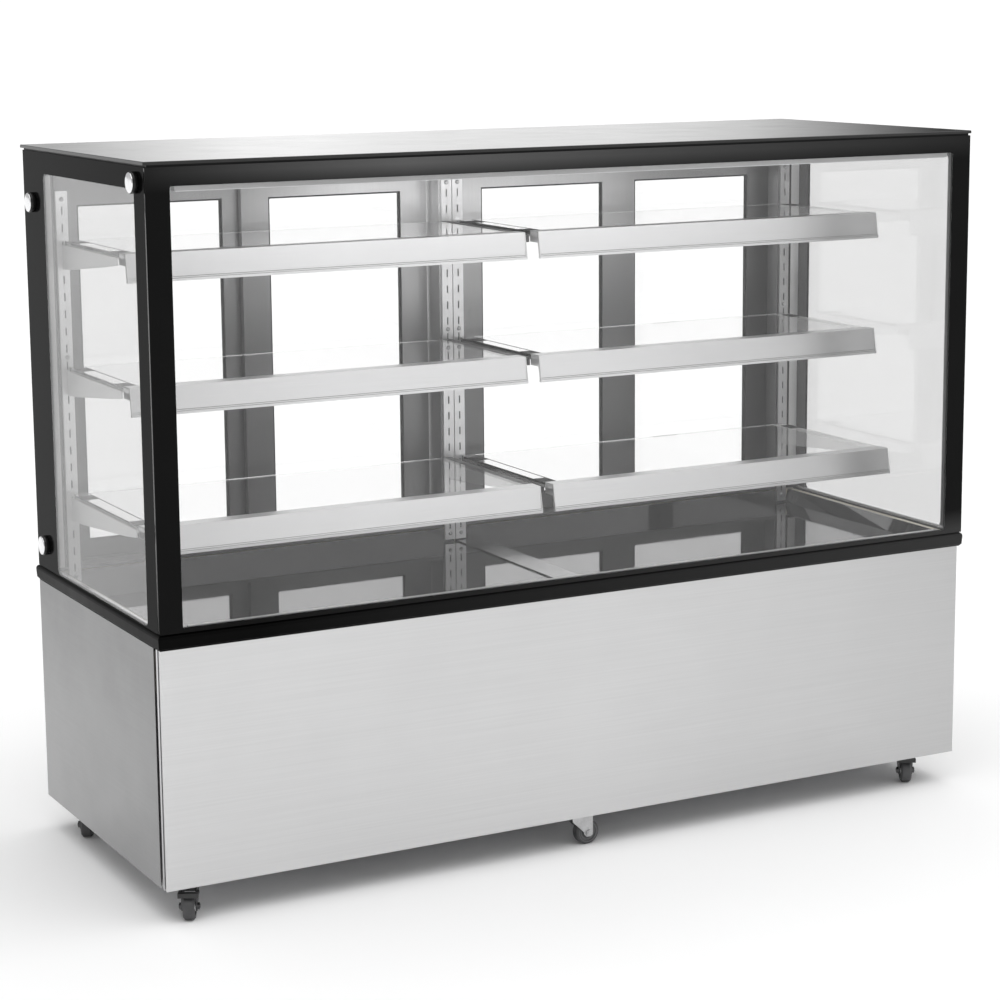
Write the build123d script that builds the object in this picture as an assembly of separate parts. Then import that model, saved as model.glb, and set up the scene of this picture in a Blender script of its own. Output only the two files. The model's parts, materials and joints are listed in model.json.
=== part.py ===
from build123d import *
import math
import os

# Refrigerated bakery display case with square glass, in millimetres.
# x runs left to right seen from the customer's side, y from front to rear, z up from the floor.

# ---- Driving dimensions ----
HALF_WIDTH = 900.0          # half the width of the steel body
BODY_FRONT = -338.0
BODY_REAR = 340.0
CASE_FRONT = -350.0         # outer face of the front glass
BODY_BOTTOM = 66.0
BELT_BOTTOM = 520.0
BELT_TOP = 549.0
GLASS_BOTTOM = 551.0
GLASS_TOP = 1386.0
TOP_GLASS_BOTTOM = 1390.0
CASE_TOP = 1396.0
SHEET = 1.5                 # thickness of the stainless sheet
PANE = 10.0                 # thickness of the front and side glass

# Floor of the cabin
TUB_BOTTOM = 430.0
TUB_SIDE = 888.5
TUB_FRONT = -328.0
TUB_REAR = 331.0
CHAMBER_SIDE = 500.0        # evaporator chamber under the deck
CHAMBER_Y = (0.0, 230.0)
CHAMBER_FLOOR = 448.0
DECK_TOP = 519.0
DECK_SIDE = 868.0           # top of the pans' sloping side rims
DECK_FLOOR_SIDE = 860.0
DECK_FRONT = -322.0
STANDARD_REAR = 250.0       # front plane of the rear posts
STANDARD_DEPTH = 4.0
STANDARD_WIDTH = 24.0
STANDARD_BOTTOM = 524.0
STANDARD_TOP = 1308.0
SLOT_PITCH = 34.0

# Rear wall and its doors
FRAME_REAR = 337.0
HEADER_BOTTOM = 1340.0
DOOR_BOTTOM = 560.0
DOOR_TOP = 1336.0
WINDOW_BOTTOM = 592.0
WINDOW_TOP = 1274.0
STILE = 60.0
DOOR_THICKNESS = 15.0
INNER_TRACK = 304.0         # middle of the track nearer the cabin
OUTER_TRACK = 324.0
INNER_WINDOW = (96.0, 398.0)
OUTER_WINDOW = (492.0, 793.0)

# Shelves: name, top of the glass, front face of the price rail
SHELVES = (("top", 1211.0, -101.0), ("middle", 961.0, -101.0), ("bottom", 706.0, -158.0))
SHELF_GLASS = 8.0
SHELF_X = (14.5, 845.5)
SHELF_REAR = 240.0
BRACKET_X = (13.0, 847.5)   # webs of a bay's two brackets
BRACKET_SHEET = 2.0
BRACKET_FLANGE = 28.0

# Casters: name, stem x, stem y, direction the wheel trails in, brake
CASTERS = (
    ("front_left", -840.0, -304.0, 242.0, True),
    ("front_middle", -12.0, -304.0, 0.0, False),
    ("front_right", 818.0, -276.0, 242.0, True),
    ("rear_left", -846.0, 246.0, 242.0, False),
    ("rear_middle", 0.0, 246.0, 200.0, False),
    ("rear_right", 846.0, 246.0, 300.0, False),
)
WHEEL_RADIUS = 25.0
WHEEL_WIDTH = 22.0
CASTER_TRAIL = 17.0
AXLE_RADIUS = 4.0
KINGPIN_RADIUS = 5.0
PEDAL_PIN = (22.0, 53.2)    # distance behind the stem and height of the pedal's pivot
PEDAL_PIN_RADIUS = 2.0
RUNNING_GAP = 0.05
FRAME_FLOOR = 72.0          # underside of the base frame's floor

nodes = {}


def block(x, y, z):
    """A box between two corners, each axis given as (low, high)."""
    size = [b - a for a, b in (x, y, z)]
    middle = [(a + b) / 2 for a, b in (x, y, z)]
    return Pos(*middle) * Box(*size)


def both_sides(x, y, z):
    """A box and its mirror image on the other side of the case."""
    return [block(x, y, z), block((-x[1], -x[0]), y, z)]


def mirrored(solid):
    return mirror(solid, about=Plane.YZ)


def rod(start, direction, radius, length):
    """A cylinder from start along direction."""
    return Plane(origin=start, z_dir=direction) * extrude(Circle(radius), length)


def prism_x(points, x):
    """A (y, z) outline extruded from x[0] to x[1]."""
    outline = make_face(Polyline(*[(x[0], y, z) for y, z in points], close=True))
    return extrude(outline, x[1] - x[0], dir=(1, 0, 0))


def solids_of(*shapes):
    """The separate solids of some shapes, in one flat list."""
    return [solid for shape in shapes for solid in shape.solids()]


def add(name, *shapes):
    nodes.setdefault(name, []).extend(solids_of(*shapes))


# ---- Lower cabinet ----

def base_frame():
    """Floor plate, two long rails and four posts; the front posts show in the panel gap."""
    add("base_frame", block((-886, 886), (-324, 324), (FRAME_FLOOR, FRAME_FLOOR + 2.5)))
    for y in ((-296, -270), (270, 296)):
        add("base_frame", block((-856, 856), y, (FRAME_FLOOR + 2.5, 112)))
    post_z = (FRAME_FLOOR + 2.5, TUB_BOTTOM)
    add("base_frame", *both_sides((862, 888), (-322, -298), post_z))
    add("base_frame", *both_sides((862, 888), (298, 322), post_z))
    add("base_frame", *both_sides((890, 899), (-330, -322), (BODY_BOTTOM + 1, BELT_BOTTOM)))
    add("base_frame", *both_sides((862, 890), (-330, -324), (FRAME_FLOOR, TUB_BOTTOM)))


def panel(x, y, z, inset, depth):
    """A thin front sheet with folded returns set in from its edges, facing -y."""
    sheet = block(x, (y, y + SHEET), z)
    outer = block((x[0] + inset, x[1] - inset), (y + SHEET, y + depth), (z[0], z[1] - inset))
    inner = block(
        (x[0] + inset + SHEET, x[1] - inset - SHEET),
        (y, y + depth + 1),
        (z[0] + SHEET, z[1] - inset - SHEET),
    )
    return sheet + (outer - inner)


def body_panels():
    add("front_panel", panel((-899, 899), BODY_FRONT, (BODY_BOTTOM, BELT_BOTTOM), 5, 6))
    length = 337 + 312
    flat = panel((0, length), 0, (BODY_BOTTOM, BELT_BOTTOM), 5, 8)
    left = Pos(-HALF_WIDTH, 337, 0) * Rot(0, 0, -90) * flat
    add("side_panels", left, mirrored(left))


LOUVRE_WIDTH = 92.0
LOUVRE_PITCH = 22.0
LOUVRE_COLUMNS = (-740, -630, -520, -410, -300, 300, 410)
LOUVRE_ROWS = 12
SERVICE_TOP = 436.0
FASCIA_BOTTOM = 439.0
CONTROL_X = (520.0, 800.0)
CONTROL_Z = (448.0, 512.0)
GLAND = (-812.0, 118.0)
GLAND_BORE = 5.0


def louvre(x, z):
    """One pressed hood, open downwards, standing out of the panel."""
    hood = [(BODY_REAR, z), (BODY_REAR + 7, z - 9), (BODY_REAR + 7, z - 10.5), (BODY_REAR, z - 1.8)]
    return prism_x(hood, (x - LOUVRE_WIDTH / 2, x + LOUVRE_WIDTH / 2))


def rear_service_panel():
    """Louvred lower panel and the plain fascia above it."""
    y = (BODY_REAR - SHEET, BODY_REAR)
    lower = block((-896, 896), y, (BODY_BOTTOM, SERVICE_TOP))
    slots = []
    hoods = []
    for x in LOUVRE_COLUMNS:
        for row in range(LOUVRE_ROWS):
            z = 390 - row * LOUVRE_PITCH
            half = LOUVRE_WIDTH / 2
            slots.append(block((x - half, x + half), (y[0] - 1, y[1] + 1), (z - 9, z - 1.8)))
            hoods.append(louvre(x, z))
    lower = lower - slots - rod((GLAND[0], y[0] - 1, GLAND[1]), (0, 1, 0), 10.2, 4)
    lower = lower + hoods
    add("rear_service_panel", lower)
    fascia = block((-896, 896), y, (FASCIA_BOTTOM, BELT_BOTTOM - 0.5))
    cut_x = (CONTROL_X[0] + 6, CONTROL_X[1] - 6)
    cut_z = (CONTROL_Z[0] + 6, CONTROL_Z[1] - 6)
    add("rear_service_panel", fascia - block(cut_x, (y[0] - 1, y[1] + 1), cut_z))


# ---- Controls ----
ROCKERS = (("power_switch", 552.0), ("light_switch", 584.0))
ROCKER_Z = 480.0
ROCKER_Y = 336.0
ROCKER_RADIUS = 11.0
ROCKER_HALF = 7.0
ROCKER_TILT = 8.0
DISPLAY_X = (640.0, 712.0)


def control_panel():
    """Black moulded fascia with the controller's frame; its housing passes through the cut-out."""
    x, z = CONTROL_X, CONTROL_Z
    front = block(x, (BODY_REAR, 345), z)
    front = fillet(front.edges().filter_by(Axis.Y), 6)
    front = chamfer(front.faces().sort_by(Axis.Y)[-1].edges(), 1.5)
    housing = block((x[0] + 7, x[1] - 7), (314, BODY_REAR), (z[0] + 7, z[1] - 7))
    body = front + housing
    for _, middle in ROCKERS:
        start = (middle - ROCKER_HALF - 0.4, ROCKER_Y, ROCKER_Z)
        body = body - rod(start, (1, 0, 0), ROCKER_RADIUS + 0.5, 2 * ROCKER_HALF + 0.8)
    window = block((DISPLAY_X[0] + 5, DISPLAY_X[1] - 5), (346.5, 349), (467, 493))
    body = body + (block(DISPLAY_X, (345, 348), (462, 498)) - window)
    for step in range(4):
        body = body + rod((730 + step * 17, 345, 480), (0, 1, 0), 5, 1.5)
    add("control_panel", body)


def rockers():
    """Each rocker is a short drum with two flats that meet over its pivot."""
    for name, middle in ROCKERS:
        drum = rod((middle - ROCKER_HALF, 0, 0), (1, 0, 0), ROCKER_RADIUS, 2 * ROCKER_HALF)
        for side in (1, -1):
            face = Rot(side * ROCKER_TILT, 0, 0) * block(
                (middle - 20, middle + 20), (9.6, 30), (0, 30) if side > 0 else (-30, 0)
            )
            drum = drum - face
        drum = Pos(0, ROCKER_Y, ROCKER_Z) * Rot(ROCKER_TILT, 0, 0) * drum
        add(name, drum)


def cable_gland():
    x, z = GLAND
    flange = extrude(Plane(origin=(x, BODY_REAR, z), z_dir=(0, 1, 0)) * RegularPolygon(13, 6), 4)
    nose = rod((x, BODY_REAR, z), (0, 1, 0), 10, 10)
    nose = fillet(nose.edges().sort_by(Axis.Y)[-1], 2)
    shank = rod((x, 326, z), (0, 1, 0), 10, BODY_REAR - 326)
    nut = extrude(Plane(origin=(x, 331, z), z_dir=(0, 1, 0)) * RegularPolygon(13, 6), 5)
    bore = rod((x, 320, z), (0, 1, 0), GLAND_BORE, 40)
    add("cable_gland", flange + nose + shank + nut - bore)


# ---- Machine compartment ----
CONDENSER_X = (-640.0, -340.0)
FAN_CENTRE = (-490.0, 222.0, 250.0)
FAN_RADIUS = 108.0


def compressor():
    x, y = -60.0, 170.0
    shell = Pos(x, y, 185) * Cylinder(82, 130)
    shell = fillet(shell.edges(), 34)
    foot = block((x - 95, x + 95), (y - 70, y + 70), (114.5, 118))
    mounts = [rod((x + a * 80, y + b * 55, 74.5), (0, 0, 1), 12, 40) for a in (-1, 1) for b in (-1, 1)]
    cradle = block((x - 50, x + 50), (y - 50, y + 50), (117, 130))
    terminals = block((x + 60, x + 110), (y - 35, y + 35), (150, 215))
    stub = rod((x, y, 245), (0, 0, 1), 6, 30)
    add("compressor", shell + foot + mounts + cradle + terminals + stub)


def condenser():
    """Finned block on the rear rail, fan shroud with its ring, and the motor on its bracket."""
    x = CONDENSER_X
    fx, _, fz = FAN_CENTRE
    core = block(x, (262, 322), (112, 400))
    fins = range(int(x[0]) + 12, int(x[1]) - 12, 12)
    grooves = [block((a, a + 6), (316, 323), (118, 394)) for a in fins]
    opening = rod((fx, 200, fz), (0, 1, 0), FAN_RADIUS + 8, 62)
    shroud = block(x, (240, 262), (112, 400)) + rod((fx, 205, fz), (0, 1, 0), FAN_RADIUS + 11, 35)
    add("condenser", (core - grooves) + (shroud - opening))
    motor = rod((fx, 140, fz), (0, 1, 0), 36, 50) + rod((fx, 190, fz), (0, 1, 0), 4, 30)
    leg = block((fx - 20, fx + 20), (150, 180), (74.5, fz))
    add("condenser", motor + leg)


def condenser_fan():
    """Five pitched blades on a hub that is bored for the motor shaft."""
    fx, fy, fz = FAN_CENTRE
    hub = rod((fx, 212, fz), (0, 1, 0), 24, 20)
    blade = Pos(fx + 60, fy, fz) * Rot(28, 0, 0) * Box(90, 2.5, 42)
    disc = rod((fx, 200, fz), (0, 1, 0), FAN_RADIUS, 44)
    blade = blade & disc
    rotor = hub
    for step in range(5):
        turn = Pos(fx, 0, fz) * Rot(0, step * 72, 0) * Pos(-fx, 0, -fz)
        rotor = rotor + turn * blade
    add("condenser_fan", rotor - rod((fx, 200, fz), (0, 1, 0), 4 + RUNNING_GAP, 21))


# ---- Cabin floor ----
COOLANT_PIPES = (-440.0, 190.0)
BLOWER_AXIS = (60.0, 484.0)     # y, z
BLOWER_RADIUS = 26.0
BLOWER_HALF = 380.0


def insulated_tub():
    """Foam blocks: a bottom slab, blocks round the evaporator chamber, and walls round the deck."""
    side, front, rear = TUB_SIDE, TUB_FRONT, TUB_REAR
    near, far = CHAMBER_Y
    slab = block((-side, side), (front, rear), (TUB_BOTTOM, CHAMBER_FLOOR))
    pipe_hole = rod((*COOLANT_PIPES, TUB_BOTTOM - 1), (0, 0, 1), 24, 30)
    add("insulated_tub", slab - pipe_hole)
    middle = (CHAMBER_FLOOR, DECK_TOP - SHEET)
    add("insulated_tub", block((-CHAMBER_SIDE, CHAMBER_SIDE), (front, near), middle))
    add("insulated_tub", block((-CHAMBER_SIDE, CHAMBER_SIDE), (far, rear), middle))
    add("insulated_tub", block((-side, -CHAMBER_SIDE), (front, rear), middle))
    pocket_x = (CONTROL_X[0] + 3, CONTROL_X[1] - 3)
    pocket = block(pocket_x, (310, rear + 1), (CONTROL_Z[0] + 3, CONTROL_Z[1] - 3))
    add("insulated_tub", block((CHAMBER_SIDE, side), (front, rear), middle) - pocket)
    wall = (DECK_TOP - SHEET, BELT_TOP)
    add("insulated_tub", *both_sides((870, side), (front, rear), wall))
    add("insulated_tub", block((-870, 870), (front, front + 4), wall))
    add("insulated_tub", block((-870, 870), (252, rear), wall))


def evaporator():
    """Finned coil, two end plates that carry the blower shaft, and the pipes down to the base."""
    coil = block((-470, 470), (110, 205), (452, 508))
    grooves = [block((a, a + 8), (109, 116), (455, 505)) for a in range(-460, 460, 16)]
    add("evaporator", coil - grooves)
    by, bz = BLOWER_AXIS
    for x in (-400.0, 394.0):
        plate = block((x, x + 6), (26, 110), (449, 512))
        add("evaporator", plate - rod((x - 1, by, bz), (1, 0, 0), 4 + RUNNING_GAP, 8))
    for offset in (-10, 10):
        pipe = (COOLANT_PIPES[0] + offset, COOLANT_PIPES[1], 300)
        add("evaporator", rod(pipe, (0, 0, 1), 5, 152))


def evaporator_blower():
    """Drum of curved vanes between end discs, on one long shaft."""
    by, bz = BLOWER_AXIS
    drum = rod((-410, by, bz), (1, 0, 0), 4, 820)
    for x in (-BLOWER_HALF, -1.5, BLOWER_HALF - 3):
        drum = drum + rod((x, by, bz), (1, 0, 0), BLOWER_RADIUS, 3)
    vane = block((-BLOWER_HALF, BLOWER_HALF), (17, 25), (-0.8, 0.8))
    vanes = [Pos(0, by, bz) * Rot(step * 22.5, 0, 0) * vane for step in range(16)]
    add("evaporator_blower", drum + vanes)


def deck_pans():
    """Two polished pans with sloping side rims, and the strip beside their joint."""
    floor_z = (DECK_TOP - SHEET, DECK_TOP)
    rear = STANDARD_REAR + 0.4
    add("deck_pans", *both_sides((1, DECK_FLOOR_SIDE), (DECK_FRONT, rear), floor_z))
    rim = [
        (DECK_FLOOR_SIDE, DECK_TOP - SHEET),
        (DECK_FLOOR_SIDE + 2, DECK_TOP - SHEET),
        (DECK_SIDE + 1.6, BELT_TOP),
        (DECK_SIDE, BELT_TOP),
        (DECK_FLOOR_SIDE, DECK_TOP + 1),
    ]
    face = make_face(Polyline(*[(x, DECK_FRONT, z) for x, z in rim], close=True))
    side = extrude(face, rear - DECK_FRONT, dir=(0, 1, 0))
    add("deck_pans", side, mirrored(side))
    for y in ((DECK_FRONT - SHEET, DECK_FRONT), (rear, rear + SHEET)):
        add("deck_pans", *both_sides((1, DECK_FLOOR_SIDE), y, (DECK_TOP - SHEET, BELT_TOP)))
    add("deck_pans", block((1, 60), (DECK_FRONT + 2, STANDARD_REAR - 6), (DECK_TOP, DECK_TOP + 2.5)))


# ---- Belt and glass ----
def mitred_ring(half_x, front, rear, profile):
    """Four mitred bars round a rectangle; profile gives (distance outwards, z) points."""
    half_y = (rear - front) / 2
    bars = []
    for turn in range(4):
        run, depth = (half_x, half_y) if turn % 2 == 0 else (half_y, half_x)
        bar = prism_x([(-depth - out, z) for out, z in profile], (-run - 60, run + 60))
        corner = Polyline(
            (run - 30, 30 - depth, 0),
            (run + 60, -depth - 60, 0),
            (-run - 60, -depth - 60, 0),
            (30 - run, 30 - depth, 0),
            close=True,
        )
        bar = bar & extrude(make_face(corner), 2000, dir=(0, 0, 1))
        bars.append(Pos(0, (front + rear) / 2, 0) * Rot(0, 0, 90 * turn) * bar)
    return bars


def belt_moulding():
    """Black moulding round the cabinet, drawn in at its bottom edge, with a lip under the glass."""
    profile = [
        (0, BELT_BOTTOM),
        (9, BELT_BOTTOM),
        (13, BELT_BOTTOM + 5),
        (14, BELT_BOTTOM + 22),
        (13, BELT_BOTTOM + 26),
        (10, BELT_TOP),
        (6, BELT_TOP),
        (6, GLASS_BOTTOM),
        (0, GLASS_BOTTOM),
    ]
    add("belt_moulding", *mitred_ring(890, -336, TUB_REAR, profile))


def cabin_glass():
    z = (GLASS_BOTTOM, GLASS_TOP)
    add("front_glass", block((-HALF_WIDTH, HALF_WIDTH), (CASE_FRONT, CASE_FRONT + PANE), z))
    side_y = (CASE_FRONT + PANE + 0.5, FRAME_REAR)
    add("side_glasses", *both_sides((HALF_WIDTH - PANE, HALF_WIDTH), side_y, z))
    top = block((-904, 904), (CASE_FRONT, 342), (TOP_GLASS_BOTTOM, CASE_TOP))
    top = fillet(top.edges().filter_by(Axis.Z), 3)
    top = chamfer(top.faces().sort_by(Axis.Z)[-1].edges(), 1)
    add("top_glass", top)


def top_frame():
    """Black angle under the top glass: a flat flange over the panes and a leg behind them."""
    profile = [
        (-14, TOP_GLASS_BOTTOM),
        (8, TOP_GLASS_BOTTOM),
        (8, GLASS_TOP),
        (-0.5, GLASS_TOP),
        (-0.5, 1362),
        (-3, 1362),
        (-3, GLASS_TOP),
        (-14, GLASS_TOP),
    ]
    add("top_frame", *mitred_ring(889, -339, 329, profile))


FIXING_RADIUS = 20.0
FIXINGS = ((-293.0, 1357.0), (285.0, 1286.0), (285.0, 600.0))


def glass_fixings():
    """Round standoff caps through the side glass, each with a domed face."""
    for y, z in FIXINGS:
        barrel = rod((-HALF_WIDTH, y, z), (-1, 0, 0), FIXING_RADIUS, 9)
        barrel = barrel + rod((-HALF_WIDTH - 9, y, z), (-1, 0, 0), FIXING_RADIUS - 1, 2.5)
        barrel = fillet(barrel.edges().sort_by(Axis.X)[0], 1.8)
        add("glass_fixings", barrel, mirrored(barrel))


def front_light_bars():
    """Slim aluminium light bars along the top and the bottom of the front glass."""
    back = CASE_FRONT + PANE
    add("front_light_bars", block((-845, 845), (back, back + 16), (1343, 1361)))
    add("front_light_bars", block((-843, 843), (back, back + 8), (GLASS_BOTTOM, 561)))


# ---- Rear wall ----

def rear_door_frame():
    """Header and sill with two door tracks, two corner posts and the centre mullion."""
    y = (STANDARD_REAR, FRAME_REAR)
    header = block((-889, 889), y, (HEADER_BOTTOM, 1361.5))
    for lip in (292.0, 312.5, 333.0):
        header = header + both_sides((30, 860), (lip, lip + 3), (HEADER_BOTTOM - 14, HEADER_BOTTOM))
    add("rear_door_frame", header)
    sill = block((-889, 889), (STANDARD_REAR + 2.5, FRAME_REAR), (GLASS_BOTTOM, 557))
    for track in (INNER_TRACK, OUTER_TRACK):
        sill = sill + both_sides((30, 860), (track - 1.5, track + 1.5), (557, 562.5))
    add("rear_door_frame", sill)
    upright = (557, HEADER_BOTTOM)
    post = block((832, 889), (STANDARD_REAR, 290), upright) + block((862, 889), (289, FRAME_REAR), upright)
    post = post - block((861, 867), (STANDARD_REAR - 1, 256), (556, HEADER_BOTTOM + 1))
    add("rear_door_frame", post, mirrored(post))
    add("rear_door_frame", block((-30, 30), y, upright))


def door(name, window, track):
    """Four-piece frame with a grooved glass pane and a recessed finger pull on one stile."""
    low, high = window
    y = (track - DOOR_THICKNESS / 2, track + DOOR_THICKNESS / 2)
    pocket = block((low - 8, high + 8), (track - 3.1, track + 3.1), (WINDOW_BOTTOM - 8, WINDOW_TOP + 8))
    groove = block((low - 99, high + 99), (track - 3, track + 3), (DOOR_BOTTOM - 1, DOOR_BOTTOM + 5))
    pull_x = low - STILE / 2 if track == INNER_TRACK else high + STILE / 2
    pull = block((pull_x - 12, pull_x + 12), (y[1] - 8, y[1] + 1), (900, 1010))
    pull = fillet(pull.edges().filter_by(Axis.Y), 11)
    pieces = [
        block((low - STILE, low), y, (DOOR_BOTTOM, DOOR_TOP)),
        block((high, high + STILE), y, (DOOR_BOTTOM, DOOR_TOP)),
        block((low, high), y, (DOOR_BOTTOM, WINDOW_BOTTOM)),
        block((low, high), y, (WINDOW_TOP, DOOR_TOP)),
    ]
    frame = [piece - pocket - groove - pull for piece in pieces]
    glass = block(
        (low - 7.5, high + 7.5), (track - 3, track + 3), (WINDOW_BOTTOM - 7.5, WINDOW_TOP + 7.5)
    )
    for side, flip in (("right", False), ("left", True)):
        for part, shapes in (("frame", frame), ("glass", [glass])):
            placed = [mirrored(shape) if flip else shape for shape in shapes]
            add(f"{side}_{name}_door_{part}", *placed)


# ---- Shelving ----

def slot_starts():
    """Bottom of each slot in a standard."""
    count = int((STANDARD_TOP - STANDARD_BOTTOM - 30) // SLOT_PITCH)
    return [STANDARD_BOTTOM + 24 + SLOT_PITCH * step for step in range(count)]


def shelf_standards():
    """Channel uprights with a column of slots for the brackets and three screws each."""
    front = STANDARD_REAR - STANDARD_DEPTH
    half = STANDARD_WIDTH / 2
    z = (STANDARD_BOTTOM, STANDARD_TOP)
    starts = slot_starts()
    screws = (starts[0] - 10, starts[13] - 9, starts[-1] + 30)
    for x in BRACKET_X:
        upright = block((x - half, x + half), (front, STANDARD_REAR), z)
        inside = (x - half + 1.5, x + half - 1.5)
        hollow = block(inside, (front + 1.5, STANDARD_REAR + 1), (z[0] - 1, z[1] + 1))
        across = (x - 1.6, x + 1.6)
        slots = [block(across, (front - 1, front + 2), (start, start + 16)) for start in starts]
        heads = [rod((x, front - 1.5, height), (0, 1, 0), 4.5, 3) for height in screws]
        upright = upright - hollow - slots + heads
        add("shelf_standards", upright, mirrored(upright))


RAIL_DEPTH = 33.0


def bracket(web_x, inward, top, front):
    """Tapered web with two hooks and a flange on the bay's side that carries the glass."""
    rear = STANDARD_REAR - STANDARD_DEPTH
    underside = top - SHELF_GLASS
    nose = front + RAIL_DEPTH + 2
    outline = [
        (rear, underside),
        (nose, underside),
        (nose, underside - 14),
        (nose + 60, underside - 22),
        (rear - 60, underside - 44),
        (rear, underside - 48),
    ]
    web_span = (web_x - BRACKET_SHEET / 2, web_x + BRACKET_SHEET / 2)
    web = prism_x(outline, web_span)
    for start in slot_starts():
        low = max(start + 1, underside - 48)
        high = min(start + 15, underside - 2)
        if high - low > 4:
            web = web + block(web_span, (rear - 1, rear + 2.5), (low, high))
    edge = web_x + inward * BRACKET_SHEET / 2
    flange_x = tuple(sorted((edge, edge + inward * BRACKET_FLANGE)))
    flange = block(flange_x, (nose, rear - 8), (underside - BRACKET_SHEET, underside))
    return web + flange


def shelf(name, top, front):
    """Glass, price rail and bracket pair of one level, in both bays."""
    rear = SHELF_REAR
    pane = block(SHELF_X, (front + 3.5, rear), (top - SHELF_GLASS, top))
    clip_low = top - SHELF_GLASS - 13
    rail = [
        (front, top + 1.6),
        (front + RAIL_DEPTH, top + 1.6),
        (front + RAIL_DEPTH, top + 0.1),
        (front + 3, top + 0.1),
        (front + 3, top - SHELF_GLASS - 0.1),
        (front + RAIL_DEPTH, top - SHELF_GLASS - 0.1),
        (front + RAIL_DEPTH, clip_low),
        (front + 1.5, clip_low),
        (front - 4.2, top - 47),
        (front - 1.5, top - 49.5),
        (front - 3, top - 52),
        (front - 9.5, top - 52),
        (front - 10, top - 47),
        (front - 7.6, top - 46.6),
        (front - 7.2, top - 43),
        (front - 5.8, top - 43),
    ]
    bar = prism_x(rail, SHELF_X)
    webs = [bracket(BRACKET_X[0], 1, top, front), bracket(BRACKET_X[1], -1, top, front)]
    add("shelf_brackets", *webs, *[mirrored(web) for web in webs])
    add(f"{name}_right_shelf_glass", pane)
    add(f"{name}_right_price_rail", bar)
    add(f"{name}_left_shelf_glass", mirrored(pane))
    add(f"{name}_left_price_rail", mirrored(bar))


# ---- Casters ----

def caster_mount():
    """Bolted plate, bearing cup and kingpin, at the stem's own origin."""
    plate = block((-30, 30), (-24, 24), (FRAME_FLOOR - 2.5, FRAME_FLOOR))
    plate = fillet(plate.edges().filter_by(Axis.Z), 5)
    cup = rod((0, 0, 60.2), (0, 0, 1), 20, FRAME_FLOOR - 2.5 - 60.2)
    pin = rod((0, 0, 53), (0, 0, 1), KINGPIN_RADIUS, 8) + rod((0, 0, 52), (0, 0, 1), 8, 3)
    bolts = [rod((a * 23, b * 17, 67), (0, 0, 1), 4.5, 2.5) for a in (-1, 1) for b in (-1, 1)]
    return plate + cup + pin + bolts


def caster_fork(brake):
    """Top plate, two tapering legs and the bolted axle, trailing towards +x of the stem."""
    gap = WHEEL_WIDTH / 2 + 1.2
    thick = 2.5
    axle_x, axle_z = CASTER_TRAIL, WHEEL_RADIUS
    top = block((-20, 26), (-gap, gap), (57, 60))
    top = top - rod((0, 0, 50), (0, 0, 1), KINGPIN_RADIUS + RUNNING_GAP, 20)
    outline = Polyline(
        (-20, gap, 60),
        (26, gap, 60),
        (26, gap, 50),
        (axle_x + 9, gap, axle_z),
        (axle_x + 5, gap, axle_z - 8),
        (axle_x - 5, gap, axle_z - 8),
        (axle_x - 9, gap, axle_z),
        (-20, gap, 52),
        close=True,
    )
    leg = extrude(make_face(outline), thick, dir=(0, 1, 0))
    axle = rod((axle_x, -gap - thick - 5, axle_z), (0, 1, 0), AXLE_RADIUS, 2 * (gap + thick + 5))
    for side in (-1, 1):
        face = Plane(origin=(axle_x, side * (gap + thick), axle_z), z_dir=(0, side, 0))
        axle = axle + extrude(face * RegularPolygon(7, 6), 4)
    leg = leg - axle
    if brake:
        leg = leg + rod((PEDAL_PIN[0], gap + thick, PEDAL_PIN[1]), (0, 1, 0), PEDAL_PIN_RADIUS, 4.8)
    return [top, leg, mirror(leg, about=Plane.XZ), axle]


def caster_wheel():
    axle_x, axle_z = CASTER_TRAIL, WHEEL_RADIUS
    wheel = rod((axle_x, -WHEEL_WIDTH / 2, axle_z), (0, 1, 0), WHEEL_RADIUS, WHEEL_WIDTH)
    wheel = chamfer(wheel.edges(), 3)
    for side in (-1, 1):
        face = side * WHEEL_WIDTH / 2
        dish = rod((axle_x, face, axle_z), (0, -side, 0), 17, 2.5)
        hub = rod((axle_x, face, axle_z), (0, -side, 0), 8, 2.5)
        wheel = wheel - (dish - hub)
    return wheel - rod((axle_x, -20, axle_z), (0, 1, 0), AXLE_RADIUS + RUNNING_GAP, 40)


def caster_brake():
    """Brake pedal over the trailing side of the wheel, hung from the fork's two pins."""
    px, pz = PEDAL_PIN
    plate = block((28.5, 41), (-19, 19), (54, 56.5))
    lip = block((39, 41), (-19, 19), (48, 54))
    ears = both_ears((18.5, 41), (15.1, 19), (50, 56.5))
    pins = rod((px, -30, pz), (0, 1, 0), PEDAL_PIN_RADIUS + RUNNING_GAP, 60)
    return plate + lip + ears - pins


def both_ears(x, y, z):
    """A box and its mirror image across the caster's own middle plane."""
    return [block(x, y, z), block(x, (-y[1], -y[0]), z)]


def casters():
    for name, x, y, heading, brake in CASTERS:
        place = Pos(x, y, 0)
        turned = place * Rot(0, 0, heading)
        add("caster_plates", place * caster_mount())
        add(f"{name}_caster_fork", *[turned * piece for piece in caster_fork(brake)])
        add(f"{name}_caster_wheel", turned * caster_wheel())
        if brake:
            add(f"{name}_brake_pedal", turned * caster_brake())


base_frame()
body_panels()
rear_service_panel()
control_panel()
rockers()
cable_gland()
compressor()
condenser()
condenser_fan()
insulated_tub()
evaporator()
evaporator_blower()
deck_pans()
belt_moulding()
cabin_glass()
top_frame()
glass_fixings()
front_light_bars()
rear_door_frame()
door("inner", INNER_WINDOW, INNER_TRACK)
door("outer", OUTER_WINDOW, OUTER_TRACK)
shelf_standards()
for level in SHELVES:
    shelf(*level)
casters()

os.makedirs("parts", exist_ok=True)
for node, pieces in nodes.items():
    export_step(Compound(children=pieces), f"parts/{node}.step")
print(len(nodes), "nodes")
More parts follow.
